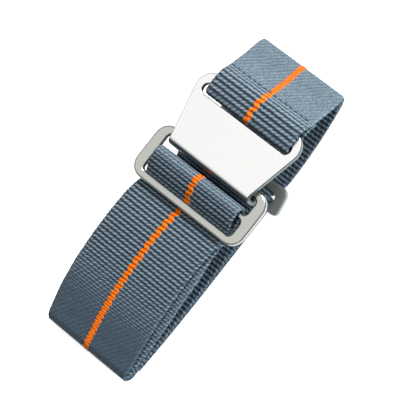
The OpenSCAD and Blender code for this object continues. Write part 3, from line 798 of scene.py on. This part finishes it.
def hook_outline():
    slope = (HOOK_WIDE - HOOK_NARROW) / 2 / HOOK_L
    side = math.degrees(math.atan(slope))
    cy = HOOK_WIDE / 2 - slope * HOOK_CORNER_R - HOOK_CORNER_R / math.cos(math.radians(side))
    narrow = HOOK_NARROW / 2
    near = arc((HOOK_CORNER_R, cy), HOOK_CORNER_R, 180, 90 - side, 10)
    far = arc((SHEET_L - LIP_CORNER_R, narrow - LIP_CORNER_R), LIP_CORNER_R, 90, 0, 5)
    upper = near + [np.array((HOOK_L, narrow))] + far
    return upper + [np.array((x, -y)) for x, y in upper[::-1]]


def slot_outline():
    return round_box(HOOK_BAR, HOOK_BAR + HOOK_SLOT, -WINDOW_W / 2, WINDOW_W / 2, HOOK_SLOT / 2 - 0.001)


def rolled(u, n):
    """Where a point of the flat sheet comes to lie, from its distance along the sheet and from the sheet's middle."""
    if u <= HOOK_L:
        return HOOK_RIGHT - u, HOOK_MID_Z + n
    a = (u - HOOK_L) / BEND_MID_R
    centre_z = HOOK_MID_Z - BEND_MID_R
    if u <= HOOK_L + BEND_L:
        return HOOK_FLAT_X - (BEND_MID_R + n) * math.sin(a), centre_z + (BEND_MID_R + n) * math.cos(a)
    down = u - HOOK_L - BEND_L
    if down <= WALL_L:
        return HOOK_FLAT_X - BEND_MID_R - n, centre_z - down
    a = (down - WALL_L) / BEND_MID_R
    centre_z -= WALL_L
    if down <= WALL_L + BEND_L:
        return HOOK_FLAT_X - (BEND_MID_R + n) * math.cos(a), centre_z - (BEND_MID_R + n) * math.sin(a)
    return HOOK_FLAT_X + down - WALL_L - BEND_L, centre_z - BEND_MID_R - n


bend_cuts = [HOOK_L + BEND_L * k / BEND_PIECES for k in range(BEND_PIECES + 1)]
bend_cuts += [HOOK_L + BEND_L + WALL_L + BEND_L * k / BEND_PIECES for k in range(BEND_PIECES + 1)]
hook_work = sheet_mesh("hook", (hook_outline(), slot_outline()), HOOK_T, HOOK_EDGE_R, bend_cuts)
for vertex in hook_work.verts:
    x, z = rolled(vertex.co.x, vertex.co.z)
    vertex.co = (x, vertex.co.y, z)
bmesh.ops.recalc_face_normals(hook_work, faces=hook_work.faces)
finished("hook_plate", hook_work, plate_steel, "hook", "hook")

# %% The ring
ring_outlines = (
    round_box(RING_LEFT, RING_RIGHT, -RING_W / 2, RING_W / 2, RING_CORNER_R),
    round_box(RING_LEFT + RING_BAR, RING_MID_X - RING_CENTRE_BAR / 2, -RING_W / 2 + RING_SIDE_BAR,
              RING_W / 2 - RING_SIDE_BAR, RING_WINDOW_R),
    round_box(RING_MID_X + RING_CENTRE_BAR / 2, RING_RIGHT - RING_BAR, -RING_W / 2 + RING_SIDE_BAR,
              RING_W / 2 - RING_SIDE_BAR, RING_WINDOW_R))
ring_work = sheet_mesh("ring", ring_outlines, RING_T, RING_EDGE_R)
bmesh.ops.translate(ring_work, verts=ring_work.verts, vec=(0, 0, RING_MID_Z))
finished("ring_frame", ring_work, ring_steel, "ring", "ring")

# %% The slider
slider_outlines = (
    round_box(-SLIDER_L / 2, SLIDER_L / 2, -SLIDER_W / 2, SLIDER_W / 2, SLIDER_CORNER_R),
    round_box(-SLIDER_SLOT / 2, SLIDER_SLOT / 2, -WINDOW_W / 2, WINDOW_W / 2, SLIDER_SLOT / 2 - 0.01))
slider_work = sheet_mesh("slider", slider_outlines, SLIDER_T, SLIDER_EDGE_R)
for vertex in slider_work.verts:
    (x, z), = on_slider([(vertex.co.x, vertex.co.z)])
    vertex.co = (x, vertex.co.y, z)
finished("slider_frame", slider_work, slider_steel, "slider", "slider")

# %% [markdown]
# A lockstitch shows on both faces as a row of short, plump threads that sink into the cloth at each end. One stitch
# is made once, and Geometry Nodes set copies in a row across the webbing.

# %% Stitches
STITCHES = 15
STITCH_L, STITCH_TURN = 0.8, 0.14
THREAD_D = 0.26
SEAM_W = WEB_W - 1.2
TAIL_SEAM_X = TAIL_END + 0.6
HOOK_THREAD_OVER, HOOK_THREAD_UNDER, TAIL_THREAD_IN = HALF * 1.32, HALF * 1.15, 0.1


def make_stitch_tree():
    tree = bpy.data.node_groups.new("row of stitches", "GeometryNodeTree")
    sockets = tree.interface
    sockets.new_socket("Geometry", in_out="INPUT", socket_type="NodeSocketGeometry")
    for name, value in (("Thread", THREAD_D * MM), ("Length", STITCH_L * MM)):
        sockets.new_socket(name, in_out="INPUT", socket_type="NodeSocketFloat").default_value = value
    sockets.new_socket("Material", in_out="INPUT", socket_type="NodeSocketMaterial")
    sockets.new_socket("Geometry", in_out="OUTPUT", socket_type="NodeSocketGeometry")
    given = add(tree, "NodeGroupInput")
    points = add(tree, "GeometryNodeMeshToPoints", {"Mesh": given["Geometry"]})["Points"]
    ball = add(tree, "GeometryNodeMeshUVSphere", {"Segments": 12, "Rings": 8, "Radius": 0.5})["Mesh"]
    size = add(tree, "ShaderNodeCombineXYZ", {"X": given["Thread"], "Y": given["Length"], "Z": given["Thread"]})[0]
    turn = add(tree, "FunctionNodeRandomValue", {2: -STITCH_TURN, 3: STITCH_TURN, "Seed": 4}, data_type="FLOAT")[1]
    tilt = add(tree, "ShaderNodeCombineXYZ", {"Z": turn})[0]
    stitches = add(tree, "GeometryNodeInstanceOnPoints", {
        "Points": points, "Instance": ball, "Scale": size, "Rotation": tilt})["Instances"]
    stitches = add(tree, "GeometryNodeRealizeInstances", {"Geometry": stitches})["Geometry"]
    stitches = add(tree, "GeometryNodeSetMaterial", {"Geometry": stitches, "Material": given["Material"]})["Geometry"]
    add(tree, "NodeGroupOutput", {"Geometry": stitches})
    return tree


def make_thread_material():
    material, tree = new_material("spun polyester sewing thread")
    place = add(tree, "ShaderNodeTexCoord")["Object"]
    fibre = add(tree, "ShaderNodeTexNoise", {"Vector": place, "Scale": 7000.0, "Detail": 2.0})["Fac"]
    colour = ramp_of(tree, fibre, (0.2, "#2b3947"), (0.8, "#5b6e7f"))
    surface = add(tree, "ShaderNodeBsdfPrincipled", {"Base Color": colour, "Roughness": 0.6})
    add(tree, "ShaderNodeOutputMaterial", {"Surface": surface[0]})
    return material


stitch_tree = make_stitch_tree()
thread_material = make_thread_material()


def height_on(line, x):
    """The height of a line in the side view, at one place along the strap."""
    ordered = sorted((q[0], q[1]) for q in line)
    return float(np.interp(x, [q[0] for q in ordered], [q[1] for q in ordered]))


def make_seam(name, x, heights, node, body):
    step = SEAM_W / STITCHES
    places = [(x * MM, ((i + 0.5) * step - SEAM_W / 2) * MM, z * MM) for z in heights for i in range(STITCHES)]
    source = bpy.data.meshes.new(name + "_places")
    source.from_pydata(places, [], [])
    piece = plain_mesh(name, source, stitch_tree, {"Material": thread_material})
    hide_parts(node)
    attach(piece, body)


over = height_on(front_line, HOOK_SEAM_X) + HOOK_THREAD_OVER
under = height_on(under_line, HOOK_SEAM_X) - HOOK_THREAD_UNDER
make_seam("hook_seam_thread", HOOK_SEAM_X, (over, under), "hook_seam", "hook")
make_seam("tail_seam_thread", TAIL_SEAM_X, (WEB_T + PITCH + TAIL_THREAD_IN, TAIL_THREAD_IN), "tail_seam", "slider")
